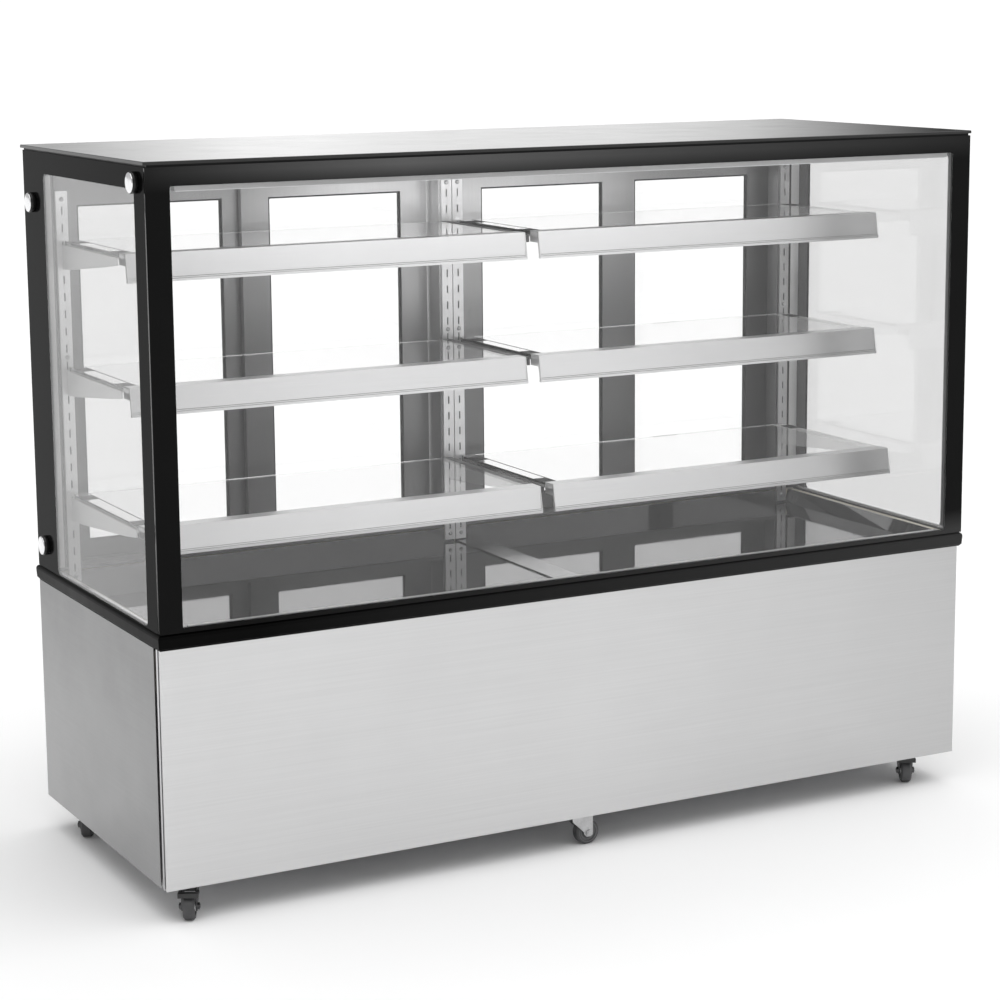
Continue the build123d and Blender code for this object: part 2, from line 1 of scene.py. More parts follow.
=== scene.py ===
import json
import math
import bmesh
import bpy
from mathutils import Matrix, Vector


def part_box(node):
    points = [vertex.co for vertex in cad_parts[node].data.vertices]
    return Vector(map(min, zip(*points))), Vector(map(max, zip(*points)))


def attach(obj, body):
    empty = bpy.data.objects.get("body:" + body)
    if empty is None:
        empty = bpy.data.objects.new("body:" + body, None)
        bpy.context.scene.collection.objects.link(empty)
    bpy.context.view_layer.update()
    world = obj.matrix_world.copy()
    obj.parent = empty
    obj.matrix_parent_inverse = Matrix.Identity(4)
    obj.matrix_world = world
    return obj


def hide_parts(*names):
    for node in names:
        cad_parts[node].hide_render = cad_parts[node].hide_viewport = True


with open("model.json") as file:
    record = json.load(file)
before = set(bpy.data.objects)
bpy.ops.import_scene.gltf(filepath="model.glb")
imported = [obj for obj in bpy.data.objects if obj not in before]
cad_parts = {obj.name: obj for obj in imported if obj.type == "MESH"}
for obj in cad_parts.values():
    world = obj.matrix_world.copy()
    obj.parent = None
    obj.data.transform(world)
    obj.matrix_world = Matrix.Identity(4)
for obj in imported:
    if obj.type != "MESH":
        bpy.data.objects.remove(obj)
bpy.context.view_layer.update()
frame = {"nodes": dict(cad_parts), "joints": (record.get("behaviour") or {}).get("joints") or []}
nodes = frame["nodes"]
SIDES = (("left", -1), ("right", 1))
LEVELS = ("top", "middle", "bottom")

# Clear windows of the glass inside the printed borders: low and high across, low and high in z, in metres.
FRONT_WINDOW = (-0.856, 0.856, 0.5595, 1.352)
SIDE_WINDOW = (-0.288, 0.215, 0.554, 1.345)
SIDE_GLASS_INSIDE = 0.89        # inner face of a side glass, from the middle of the case
PRINT = 0.0004                  # thickness of the print's inner face

# Places and sizes below are in millimetres in the row frame, down to the camera's.
FIXINGS = ((-293, 1357), (285, 1286), (285, 600))       # y and z of a side's glass fixings
RAIL_ENDS = (("inner", 15.2), ("outer", 844.8))         # x of the price rails' end caps
FLANGES = (("inner", 14.8, 41.5), ("outer", 845.2, 819))        # x of the bracket flanges beside each bay
REST_TOP = 0.25                 # top of a polished rest strip above the shelf glass
PAD_SPAN = (0.3, 0.6)           # low and high of a pad above the shelf glass
FRONT_PAD, REAR_PAD = 46, 42    # lengths of the pads
EDGE_LINE = 2.2                 # width of the dark line where the rest strip ends
DOOR_PANES = (("inner", (96, 398), 66), ("outer", (492, 793), 823))     # pane's x span, finger cup's x
CUP_HEIGHT = 955
REAR_FACE = 340                 # y of the service panel's outer face
DISPLAY = (676, 480)            # x and z of the display's centre
STANDARDS = (-847.5, -13, 13, 847.5)

# Camera: place in metres, angles in degrees.
CAMERA_PLACE = (-2.4482, -4.5404, 1.6598)
AZIMUTH, ELEVATION, ROLL = -28.143, 9.945, -0.475
LENS, SENSOR, SHIFT = 91.48, 36, -0.05


# ---------- shader helpers ----------

def new_material(name):
    material = bpy.data.materials.new(name)
    material.use_nodes = True
    tree = material.node_tree
    tree.nodes.clear()
    out = tree.nodes.new("ShaderNodeOutputMaterial")
    shader = tree.nodes.new("ShaderNodeBsdfPrincipled")
    tree.links.new(shader.outputs[0], out.inputs["Surface"])
    return material, tree, shader, out


def noise(tree, scale, detail=3.0, roughness=0.55, stretch=(1, 1, 1)):
    """Noise over the row frame, stretched along each axis that has a small factor."""
    place = tree.nodes.new("ShaderNodeTexCoord")
    mapping = tree.nodes.new("ShaderNodeMapping")
    mapping.inputs["Scale"].default_value = stretch
    texture = tree.nodes.new("ShaderNodeTexNoise")
    texture.inputs["Scale"].default_value = scale
    texture.inputs["Detail"].default_value = detail
    texture.inputs["Roughness"].default_value = roughness
    tree.links.new(place.outputs["Object"], mapping.inputs["Vector"])
    tree.links.new(mapping.outputs[0], texture.inputs["Vector"])
    return texture.outputs["Fac"]


def ramp(tree, value, low, high, start=0.3, end=0.7):
    """A value between start and end mapped to the colours or greys from low to high."""
    node = tree.nodes.new("ShaderNodeValToRGB")
    stops = node.color_ramp.elements
    stops[0].position, stops[1].position = start, end
    for stop, colour in ((stops[0], low), (stops[1], high)):
        stop.color = (colour, colour, colour, 1) if isinstance(colour, float) else (*colour, 1)
    tree.links.new(value, node.inputs[0])
    return node.outputs[0]


def bump(tree, shader, value, strength, distance):
    node = tree.nodes.new("ShaderNodeBump")
    node.inputs["Strength"].default_value = strength
    node.inputs["Distance"].default_value = distance
    tree.links.new(value, node.inputs["Height"])
    tree.links.new(node.outputs[0], shader.inputs["Normal"])


def blend_colours(tree, factor, first, second, kind="MIX"):
    node = tree.nodes.new("ShaderNodeMix")
    node.data_type = "RGBA"
    node.blend_type = kind
    if isinstance(factor, float):
        node.inputs[0].default_value = factor
    else:
        tree.links.new(factor, node.inputs[0])
    for socket, value in ((node.inputs[6], first), (node.inputs[7], second)):
        if isinstance(value, tuple):
            socket.default_value = (*value, 1)
        else:
            tree.links.new(value, socket)
    return node.outputs[2]


def along(tree, axis, stops):
    """A grey that runs through the (position, level) stops along an axis of the row frame, in metres."""
    place = tree.nodes.new("ShaderNodeTexCoord")
    split = tree.nodes.new("ShaderNodeSeparateXYZ")
    tree.links.new(place.outputs["Object"], split.inputs[0])
    return levels(tree, split.outputs[axis], stops)


def levels(tree, value, stops):
    """A value mapped through (value, level) stops."""
    low, high = stops[0][0], stops[-1][0]
    span = tree.nodes.new("ShaderNodeMapRange")
    span.inputs["From Min"].default_value = low
    span.inputs["From Max"].default_value = high
    tree.links.new(value, span.inputs["Value"])
    node = tree.nodes.new("ShaderNodeValToRGB")
    elements = node.color_ramp.elements
    while len(elements) < len(stops):
        elements.new(0.5)
    for element, (position, level) in zip(elements, stops):
        element.position = (position - low) / (high - low)
        element.color = (level, level, level, 1)
    tree.links.new(span.outputs[0], node.inputs[0])
    return node.outputs[0]


def multiply(tree, first, second):
    return blend_colours(tree, 1.0, first, second, "MULTIPLY")


def metal(name, colour, spread=0.04, rough=(0.25, 0.35), grain=(1, 1, 1), cloud=3.0, scratch=0.05,
          metallic=1.0, painted_light=()):
    """Sheet metal: cloudy tone, fine brushing along the axis whose grain factor is small, smudges, and
    painted light and shade along axes.
    """
    material, tree, shader, _ = new_material(name)
    shader.inputs["Metallic"].default_value = metallic
    dark = tuple(max(0.0, c - spread) for c in colour)
    light = tuple(min(1.0, c + spread) for c in colour)
    tone = ramp(tree, noise(tree, cloud, 4), dark, light, 0.35, 0.65)
    brushed = noise(tree, 260, 2, 0.6, grain)
    lines = ramp(tree, brushed, 1 - 1.6 * scratch, 1.0, 0.3, 0.7)
    tone = multiply(tree, tone, lines)
    # Painted light and shade: the tone is darkened by greys that run along axes of the row frame.
    for axis, stops in painted_light:
        tone = multiply(tree, tone, along(tree, axis, stops))
    tree.links.new(tone, shader.inputs["Base Color"])
    smudge = noise(tree, cloud * 2.3, 5, 0.62)
    uneven = ramp(tree, smudge, float(rough[0]), float(rough[1]), 0.35, 0.68)
    tree.links.new(uneven, shader.inputs["Roughness"])
    bump(tree, shader, noise(tree, cloud * 1.7, 2), 0.05, 0.002)
    return material


def plastic(name, colour, rough=(0.3, 0.45), grain_scale=900, grain=0.12, spread=0.15, specular=0.5):
    """Moulded plastic or paint: fine leather grain, slight unevenness and dust in the roughness."""
    material, tree, shader, _ = new_material(name)
    shader.inputs["Specular IOR Level"].default_value = specular
    dark = tuple(c * (1 - spread) for c in colour)
    light = tuple(min(1.0, c * (1 + spread)) for c in colour)
    tree.links.new(ramp(tree, noise(tree, 9, 5), dark, light), shader.inputs["Base Color"])
    dust_and_sheen = ramp(tree, noise(tree, 24, 5, 0.65), float(rough[0]), float(rough[1]))
    tree.links.new(dust_and_sheen, shader.inputs["Roughness"])
    bump(tree, shader, noise(tree, grain_scale, 2), grain, 0.0003)
    return material


def glass(name, tint):
    """Float glass that lets lamps through, faintly uneven in tint and surface."""
    material, tree, shader, out = new_material(name)
    shader.inputs["Transmission Weight"].default_value = 1.0
    shader.inputs["IOR"].default_value = 1.45
    shade = tuple(c * 0.985 for c in tint)
    tree.links.new(ramp(tree, noise(tree, 2.2, 4), shade, tint), shader.inputs["Base Color"])
    shader.inputs["Roughness"].default_value = 0.0
    bump(tree, shader, noise(tree, 3, 2), 0.01, 0.0002)
    clear = tree.nodes.new("ShaderNodeBsdfTransparent")
    clear.inputs[0].default_value = (*(0.5 * c + 0.48 for c in tint), 1)
    path = tree.nodes.new("ShaderNodeLightPath")
    either = tree.nodes.new("ShaderNodeMath")
    either.operation = "MAXIMUM"
    tree.links.new(path.outputs["Is Shadow Ray"], either.inputs[0])
    tree.links.new(path.outputs["Is Diffuse Ray"], either.inputs[1])
    switch = tree.nodes.new("ShaderNodeMixShader")
    tree.links.new(either.outputs[0], switch.inputs[0])
    tree.links.new(shader.outputs[0], switch.inputs[1])
    tree.links.new(clear.outputs[0], switch.inputs[2])
    tree.links.new(switch.outputs[0], out.inputs["Surface"])
    return material


def printed_black(name, colour=0.006, rough=(0.05, 0.11), specular=0.35, painted_sheen=(), ior=1.45):
    """Black enamel behind glass: deep colour, a clean gloss, faint wipe marks and a painted highlight in
    places.
    """
    material, tree, shader, _ = new_material(name)
    shader.inputs["Specular IOR Level"].default_value = specular
    shader.inputs["IOR"].default_value = ior
    tone = ramp(tree, noise(tree, 4, 4), colour * 0.8, colour * 1.25)
    # Painted highlight: greys added to the black in the given places.
    for patch in painted_sheen:
        dust_and_sheen = along(tree, *patch[0])
        for mask in patch[1:]:
            dust_and_sheen = multiply(tree, dust_and_sheen, along(tree, *mask))
        tone = blend_colours(tree, 1.0, tone, dust_and_sheen, "ADD")
    tree.links.new(tone, shader.inputs["Base Color"])
    wipe = noise(tree, 7, 6, 0.7, (1, 1, 0.3))
    tree.links.new(ramp(tree, wipe, float(rough[0]), float(rough[1])), shader.inputs["Roughness"])
    bump(tree, shader, noise(tree, 40, 2), 0.01, 0.0002)
    return material


def glow(name, colour, strength):
    material, tree, shader, _ = new_material(name)
    tone = ramp(tree, noise(tree, 60, 2), tuple(c * 0.92 for c in colour), colour)
    tree.links.new(tone, shader.inputs["Base Color"])
    shader.inputs["Roughness"].default_value = 0.35
    shader.inputs["Emission Color"].default_value = (*colour, 1)
    shader.inputs["Emission Strength"].default_value = strength
    return material


X, Y, Z = 0, 1, 2
# Painted light and shade on the door frames: brightest just under the top and near the middle, darker low
# down and towards both ends.
DOOR_PAINTED_LIGHT = (
    (Z, ((0.56, 0.28), (0.90, 0.31), (1.10, 0.58), (1.26, 1.0), (1.33, 0.7))),
    (X, ((-0.85, 0.36), (-0.45, 0.46), (-0.2, 1.0), (0.15, 0.9), (0.4, 0.68), (0.85, 0.32))),
)
# Painted reflection on the price rails: lightest left of the middle, darker towards both ends, most at the
# right.
RAIL_PAINTED_LIGHT = ((X, ((-0.86, 0.82), (-0.4, 1.0), (0.1, 0.97), (0.5, 0.82), (0.86, 0.55))),)
# Painted highlight on the black front print: a band along the top, brightest left of the middle, and a faint
# band at the window's foot that grows to the right.
FRONT_PAINTED_SHEEN = (
    ((Z, ((1.340, 0.0), (1.375, 1.0))), (X, ((-0.9, 0.01), (-0.4, 0.10), (0.2, 0.05), (0.9, 0.012)))),
    ((Z, ((0.56, 1.0), (0.60, 0.0))), (X, ((-0.7, 0.0), (0.9, 0.035)))),
)
# Painted highlight on the belt, growing towards the right.
BELT_PAINTED_SHEEN = (((X, ((-0.7, 0.0), (0.9, 0.035))),),)

M = {
    # Painted shade on the front steel: darker towards the right end.
    "front_steel": metal("front_steel", (0.66, 0.66, 0.662), 0.015, (0.29, 0.34), (0.01, 1, 1), 1.6, 0.03,
                         painted_light=((X, ((-0.9, 1.0), (0.0, 0.98), (0.9, 0.78))),)),
    # The side panels are the same stainless as the front, painted darker as shade, and darker still towards
    # the top.
    "side_steel_painted_shade": metal("side_steel_painted_shade", (0.36, 0.36, 0.362), 0.025, (0.29, 0.38), (1, 0.01, 1), 2.0, 0.03,
                        painted_light=((Z, ((0.06, 1.0), (0.5, 0.70))),)),
    "rear_steel": metal("rear_steel", (0.56, 0.56, 0.565), 0.025, (0.29, 0.36), (0.01, 1, 1), 1.8, 0.05),
    "base_steel": metal("base_steel", (0.62, 0.62, 0.63), 0.03, (0.29, 0.37), (1, 1, 0.01), 3.0, 0.05),
    "deck_steel": metal("deck_steel", (0.125, 0.125, 0.126), 0.006, (0.03, 0.06), (0.01, 1, 1), 2.4, 0.0),
    # Painted reflection on the joint strip: darker towards the rear.
    "strip_steel": metal("strip_steel", (0.34, 0.34, 0.343), 0.02, (0.17, 0.24), (1, 0.01, 1), 4.0, 0.03,
                         painted_light=((Y, ((-0.32, 1.0), (0.0, 0.95), (0.2, 0.45))),)),
    # The door frames carry painted light and shade.
    "frame_alu": metal("frame_alu", (0.82, 0.82, 0.825), 0.02, (0.30, 0.42), (1, 1, 0.01), 2.5, 0.03, 0.6,
                       painted_light=DOOR_PAINTED_LIGHT),
    "door_alu": metal("door_alu", (0.86, 0.86, 0.865), 0.015, (0.30, 0.42), (1, 1, 0.01), 2.5, 0.03, 0.6,
                      painted_light=DOOR_PAINTED_LIGHT),
    # Painted shade on the standards: darker towards the right.
    "standard_steel": metal("standard_steel", (0.90, 0.90, 0.905), 0.02, (0.29, 0.37), (1, 1, 0.02), 9.0,
                            0.03, 0.7, painted_light=((X, ((0.1, 1.0), (0.9, 0.45))),)),
    # Painted shade on the brackets: those in the middle of the case are darkened to 0.22 of their white.
    "bracket_white": metal("bracket_white", (0.88, 0.88, 0.88), 0.02, (0.3, 0.42), (1, 0.1, 1), 8.0, 0.02,
                           0.1, painted_light=((X, ((-0.5, 1.0), (-0.45, 0.22), (0.45, 0.22), (0.5, 1.0))),)),
    "polished": metal("polished", (0.93, 0.93, 0.93), 0.02, (0.10, 0.16), (1, 0.1, 1), 8.0, 0.02),
    "bar_alu": metal("bar_alu", (0.46, 0.46, 0.463), 0.02, (0.3, 0.4), (0.02, 1, 1), 5.0, 0.03, 0.25),
    # The price rails carry painted reflection.
    "rail_face": metal("rail_face", (0.82, 0.82, 0.825), 0.012, (0.29, 0.35), (0.02, 1, 1), 2.0, 0.02, 0.5,
                       painted_light=RAIL_PAINTED_LIGHT),
    "fin_alu": metal("fin_alu", (0.60, 0.61, 0.63), 0.05, (0.3, 0.45), (1, 1, 0.02), 14.0, 0.2),
    "zinc": metal("zinc", (0.52, 0.52, 0.525), 0.06, (0.29, 0.40), (1, 1, 1), 45.0, 0.06),
    "dark_zinc": metal("dark_zinc", (0.10, 0.10, 0.102), 0.02, (0.29, 0.40), (1, 1, 1), 45.0, 0.06),
    "chrome": metal("chrome", (0.86, 0.86, 0.87), 0.02, (0.10, 0.2), (1, 1, 1), 30.0, 0.02),
    "trim_alu": metal("trim_alu", (0.85, 0.85, 0.86), 0.03, (0.2, 0.26), (1, 0.02, 1), 5.0, 0.03, 0.8),
    # The front print carries a painted highlight.
    "black_enamel": printed_black("black_enamel", 0.0035, (0.06, 0.12), 0.08, FRONT_PAINTED_SHEEN),
    "side_enamel": printed_black("side_enamel", 0.003, (0.08, 0.14), 0.5, (), 1.07),
    "enamel_back": printed_black("enamel_back", 0.12, (0.12, 0.2), 0.4),
    "top_enamel": printed_black("top_enamel", 0.010, (0.07, 0.12), 0.5),
    "frame_black": plastic("frame_black", (0.008, 0.008, 0.008), (0.32, 0.45), 700, 0.06, 0.2, 0.15),
    # The belt carries a painted highlight.
    "belt_black": printed_black("belt_black", 0.0015, (0.3, 0.42), 0.05, BELT_PAINTED_SHEEN),
    "control_black": plastic("control_black", (0.018, 0.018, 0.019), (0.38, 0.52), 1100, 0.25, 0.2),
    "gloss_black": plastic("gloss_black", (0.012, 0.012, 0.012), (0.12, 0.2), 600, 0.03, 0.15, 0.3),
    "rubber_black": plastic("rubber_black", (0.02, 0.02, 0.02), (0.55, 0.72), 1500, 0.2, 0.25),
    "line_grey": plastic("line_grey", (0.16, 0.16, 0.16), (0.45, 0.6), 1500, 0.1, 0.2),
    "tread": plastic("tread", (0.07, 0.07, 0.072), (0.45, 0.62), 1300, 0.25, 0.3),
    "hub_grey": plastic("hub_grey", (0.13, 0.13, 0.132), (0.32, 0.45), 1200, 0.1, 0.15),
    "end_white": plastic("end_white", (0.80, 0.80, 0.80), (0.3, 0.42), 1200, 0.06, 0.04),
    "foam_skin": plastic("foam_skin", (0.60, 0.57, 0.48), (0.5, 0.7), 300, 0.3, 0.12),
    "painted_black": plastic("painted_black", (0.02, 0.02, 0.02), (0.3, 0.42), 500, 0.1, 0.3),
    "pane": glass("pane", (0.988, 0.988, 0.988)),
    "side_pane": glass("side_pane", (0.71, 0.71, 0.71)),
    "shelf_pane": glass("shelf_pane", (0.962, 0.962, 0.962)),
    "door_pane": glass("door_pane", (0.988, 0.988, 0.988)),
    "diffuser": glow("diffuser", (0.5, 0.505, 0.51), 0.35),
    "digits": glow("digits", (0.9, 0.12, 0.08), 2.5),
}


# ---------- mesh helpers ----------

def link(name, mesh, material, body="cabinet"):
    piece = bpy.data.objects.new(name, mesh)
    bpy.context.scene.collection.objects.link(piece)
    mesh.materials.clear()
    mesh.materials.append(M[material])
    if body:
        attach(piece, body)
    return piece


def bevelled(name, boxes, material, body="cabinet", bevel=0.0005):
    """One mesh of several boxes in the row frame, in millimetres, with softened edges."""
    shape = bmesh.new()
    for x, y, z in boxes:
        made = bmesh.ops.create_cube(shape, size=1)["verts"]
        size = Vector((x[1] - x[0], y[1] - y[0], z[1] - z[0])) / 1000
        middle = Vector((x[1] + x[0], y[1] + y[0], z[1] + z[0])) / 2000
        bmesh.ops.scale(shape, verts=made, vec=size)
        bmesh.ops.translate(shape, verts=made, vec=middle)
    if bevel:
        bmesh.ops.bevel(shape, geom=shape.edges[:], offset=bevel, segments=2, affect="EDGES",
                        clamp_overlap=True)
    mesh = bpy.data.meshes.new(name)
    shape.to_mesh(mesh)
    shape.free()
    return link(name, mesh, material, body)


def plate(name, loops, thickness, place, material, body="cabinet"):
    """A flat plate cut from closed outlines, the first the outside and the rest holes, in metres."""
    outline = bpy.data.curves.new(name, "CURVE")
    outline.dimensions = "2D"
    outline.fill_mode = "BOTH"
    outline.extrude = thickness / 2
    for loop in loops:
        spline = outline.splines.new("POLY")
        spline.points.add(len(loop) - 1)
        spline.use_cyclic_u = True
        for point, (u, v) in zip(spline.points, loop):
            point.co = (u, v, 0, 1)
    holder = bpy.data.objects.new(name, outline)
    mesh = bpy.data.meshes.new_from_object(holder)
    bpy.data.objects.remove(holder)
    mesh.transform(place)
    shape = bmesh.new()
    shape.from_mesh(mesh)
    bmesh.ops.remove_doubles(shape, verts=shape.verts[:], dist=1e-6)
    bmesh.ops.recalc_face_normals(shape, faces=shape.faces[:])
    shape.to_mesh(mesh)
    shape.free()
    return link(name, mesh, material, body)


def rounded(low_u, high_u, low_v, high_v, radius, steps=6):
    """A rectangle with round corners as a loop of points."""
    points = []
    corners = (
        (high_u - radius, high_v - radius, 0),
        (low_u + radius, high_v - radius, 90),
        (low_u + radius, low_v + radius, 180),
        (high_u - radius, low_v + radius, 270),
    )
    for u, v, start in corners:
        for step in range(steps + 1):
            angle = math.radians(start + 90 * step / steps)
            points.append((u + radius * math.cos(angle), v + radius * math.sin(angle)))
    return points


def turned(name, profile, place, material, body, steps=40):
    """A shape turned about local z from (radius, height) points, in metres."""
    shape = bmesh.new()
    verts = [shape.verts.new((radius, 0, height)) for radius, height in profile]
    edges = [shape.edges.new(pair) for pair in zip(verts, verts[1:])]
    bmesh.ops.spin(shape, geom=verts + edges, cent=(0, 0, 0), axis=(0, 0, 1), angle=2 * math.pi, steps=steps)
    bmesh.ops.remove_doubles(shape, verts=shape.verts[:], dist=1e-6)
    bmesh.ops.recalc_face_normals(shape, faces=shape.faces[:])
    for face in shape.faces:
        face.smooth = True
    mesh = bpy.data.meshes.new(name)
    shape.to_mesh(mesh)
    shape.free()
    mesh.transform(place)
    return link(name, mesh, material, body)


def facing(origin, direction):
    """A matrix whose local z points along direction."""
    return Matrix.Translation(Vector(origin)) @ Vector(direction).to_track_quat("Z", "Y").to_matrix().to_4x4()


def mm(*values):
    return [value / 1000 for value in values]


# UPRIGHT turns a plate's u and v into x and z, and ACROSS turns them into y and z.
UPRIGHT = Matrix.Rotation(math.radians(90), 4, "X")
ACROSS = Matrix(((0, 0, 1, 0), (1, 0, 0, 0), (0, 1, 0, 0), (0, 0, 0, 1)))


# ---------- finishes of the CAD nodes ----------

finish_of = {
    "base_frame": "base_steel",
    "front_panel": "front_steel",
    "side_panels": "side_steel_painted_shade",
    "rear_service_panel": "rear_steel",
    "control_panel": "control_black",
    "power_switch": "gloss_black",
    "light_switch": "gloss_black",
    "cable_gland": "control_black",
    "belt_moulding": "belt_black",
    "insulated_tub": "foam_skin",
    "deck_pans": "deck_steel",
    "top_glass": "top_enamel",
    "top_frame": "frame_black",
    "glass_fixings": "chrome",
    "rear_door_frame": "frame_alu",
    "shelf_standards": "standard_steel",
    "shelf_brackets": "bracket_white",
    "front_light_bars": "bar_alu",
    "compressor": "painted_black",
    "condenser": "fin_alu",
    "condenser_fan": "control_black",
    "evaporator": "fin_alu",
    "evaporator_blower": "control_black",
    "caster_plates": "zinc",
}
for side, _ in SIDES:
    for door in ("inner", "outer"):
        finish_of[f"{side}_{door}_door_frame"] = "door_alu"
        finish_of[f"{side}_{door}_door_glass"] = "door_pane"
    for level in LEVELS:
        finish_of[f"{level}_{side}_shelf_glass"] = "shelf_pane"
        finish_of[f"{level}_{side}_price_rail"] = "rail_face"
for name in nodes:
    if name.endswith("_caster_fork"):
        # The forks other than the middle ones take a darker copy of the zinc.
        finish_of[name] = "zinc" if "middle" in name else "dark_zinc"
    elif name.endswith("_caster_wheel"):
        finish_of[name] = "tread"
    elif name.endswith("_brake_pedal"):
        finish_of[name] = "painted_black"
for name, finish in finish_of.items():
    mesh = nodes[name].data
    if not mesh.materials:
        mesh.materials.append(None)
    for index in range(len(mesh.materials)):
        mesh.materials[index] = M[finish]

# ---------- glass cabinet: black printed borders and clear windows ----------

front_low, front_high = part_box("front_glass")
sides_low, sides_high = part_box("side_glasses")
middle_y = (front_low.y + front_high.y) / 2
upright_xz = Matrix.Translation((0, middle_y, 0)) @ UPRIGHT
front_pane = front_high.y - front_low.y
window = rounded(*FRONT_WINDOW, 0.004)
outer = rounded(front_low.x, front_high.x, front_low.z, front_high.z, 0.001, 2)
border = plate("front_glass_border", [outer, window], front_pane, upright_xz, "black_enamel")
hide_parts("front_glass")
plate("front_glass_window", [window], front_pane, upright_xz, "pane")
side_pane = sides_high.x - SIDE_GLASS_INSIDE
for side, sign in SIDES:
    place = Matrix.Translation((sign * (sides_high.x - side_pane / 2), 0, 0)) @ ACROSS
    window = rounded(*SIDE_WINDOW, 0.012)
    outer = rounded(sides_low.y, sides_high.y, sides_low.z, sides_high.z, 0.001, 2)
    piece = plate(f"{side}_glass_border", [outer, window], side_pane, place, "side_enamel")
    if sign < 0:
        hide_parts("side_glasses")
    plate(f"{side}_glass_window", [window], side_pane, place, "side_pane")
    inside = Matrix.Translation((-sign * (side_pane / 2 + 0.0003), 0, 0)) @ place
    inner_ring = rounded(sides_low.y, sides_high.y, sides_low.z + 0.002, sides_high.z - 0.02, 0.001, 2)
    plate(f"{side}_border_back", [inner_ring, window], PRINT, inside, "enamel_back")
    x = sorted((sign * 858.5, sign * 864))
    bevelled(f"{side}_corner_trim", [(x, (-339.8, -337.2), (562, 1342))], "end_white")

# Aluminium angles along the foot of the side glass, their black seals, and pale covers on the rear posts.
for side, sign in SIDES:
    cover = sorted((sign * 867.4, sign * 888.6))
    bevelled(f"{side}_post_cover", [(cover, (249.1, 249.8), (558, 1338))], "end_white", bevel=0.0001)
    x = sorted((sign * 883.5, sign * 889.4))
    seal = sorted((sign * 880.5, sign * 883.3))
    bevelled(f"{side}_foot_trim", [(x, (-326, 248), (551.2, 557.5))], "trim_alu")
    bevelled(f"{side}_foot_seal", [(seal, (-326, 248), (549.2, 552.6))], "rubber_black")

# ---------- glass fixings: black barrels with bright domed caps ----------

fixings_low, fixings_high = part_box("glass_fixings")
for side, sign in SIDES:
    for index, (y, z) in enumerate(FIXINGS):
        start = (sign * sides_high.x, y / 1000, z / 1000)
        length = fixings_high.x - sides_high.x
        barrel = [(0.0, 0.0), (0.0192, 0.0), (0.0196, 0.0004), (0.0196, length - 0.0034)]
        barrel += [(0.0186, length - 0.0026), (0.0168, length - 0.0026), (0.0, length - 0.0026)]
        cap = [(0.0, length - 0.0027), (0.0184, length - 0.0027), (0.0184, length - 0.0014)]
        cap += [(0.0178, length - 0.0006), (0.016, length - 0.0001), (0.0, length)]
        outward = facing(start, (sign, 0, 0))
        body = turned(f"{side}_fixing_barrel_{index}", barrel, outward, "gloss_black", "cabinet")
        turned(f"{side}_fixing_cap_{index}", cap, outward, "chrome", "cabinet")
        if index == 0 and sign < 0:
            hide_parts("glass_fixings")

# Diffuser under the upper light bar, and the brushed cover of the pans' joint, darkened towards the rear by
# painted reflection.
bevelled("light_diffuser", [((-842, 842), (-338, -326), (1341.4, 1343))], "diffuser")
bevelled("joint_strip", [((1.2, 59.8), (-318, 242), (521.5, 521.8))], "strip_steel", bevel=0.0002)

# ---------- shelves: rests and pads of the brackets, end caps of the rails, and dark strips of painted shade at the rails' steps ---

for level in LEVELS:
    for side, sign in SIDES:
        low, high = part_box(f"{level}_{side}_price_rail")
        body = f"{level}_{side}_shelf"
        front, top = low.y * 1000 + 10, high.z * 1000 - 1.6
        x = sorted((sign * 17, sign * 843))
        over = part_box(f"{level}_{side}_shelf_glass")[1].z * 1000
        nose, heel = front + 36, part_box("shelf_standards")[0].y * 1000 - 8
        pad_z = [over + height for height in PAD_SPAN]
        for part, inner, outer_edge in FLANGES:
            step = 1 if inner < outer_edge else -1
            flange = sorted((sign * inner, sign * outer_edge))
            line = sorted((sign * outer_edge, sign * (outer_edge + EDGE_LINE * step)))
            front_pad = (flange, (nose, nose + FRONT_PAD), pad_z)
            rear_pad = (flange, (heel - 24 - REAR_PAD, heel - 24), pad_z)
            if (side, part) == ("left", "inner"):
                across = sorted((sign * inner, sign * (inner + 15)))
                seal = (across, (nose + 8, heel), (over + 0.1, over + PAD_SPAN[1]))
                bevelled(f"{level}_{side}_{part}_pads", [seal], "line_grey", body, 0)
            elif (side, part) == ("right", "outer"):
                bevelled(f"{level}_{side}_{part}_pads", [rear_pad], "rubber_black", body, 0)
            else:
                rest = (flange, (nose, heel), (over + 0.1, over + REST_TOP))
                bevelled(f"{level}_{side}_{part}_rest", [rest], "polished", body, 0)
                edge = (line, (nose, heel), pad_z)
                bevelled(f"{level}_{side}_{part}_pads", [front_pad, rear_pad, edge], "rubber_black", body, 0)
        if sign > 0:
            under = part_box(f"{level}_{side}_shelf_glass")[0].z * 1000
            cover = ((1.5, 14.2), (nose, heel), (under + 0.1, under + 0.5))
            bevelled(f"{level}_bracket_cover", [cover], "polished", bevel=0.0001)
        # Painted shade: thin dark strips on the two steps near the foot of the rail's face, where shade falls
        # in the nook.
        step_shade_strips = [(x, (front - 7.45, front - 7.1), (top - 44, top - 43.2)),
                   (x, (front - 8.3, front - 7.6), (top - 47, top - 46.3))]
        bevelled(f"{level}_{side}_rail_step_shade", step_shade_strips, "line_grey", body, 0)
        for end, x in RAIL_ENDS:
            outline = [
                (front - 0.2, top + 1.6), (front + 32, top + 1.6), (front + 32, top - 20),
                (front + 1.5, top - 20.4), (front - 3.7, top - 47), (front - 3.2, top - 51.6),
                (front - 9.3, top - 51.6), (front - 9.8, top - 47),
            ]
            loop = [(y / 1000, z / 1000) for y, z in outline]
            place = Matrix.Translation((sign * x / 1000, 0, 0)) @ ACROSS
            plate(f"{level}_{side}_rail_cap_{end}", [loop], 0.0014, place, "end_white", body)

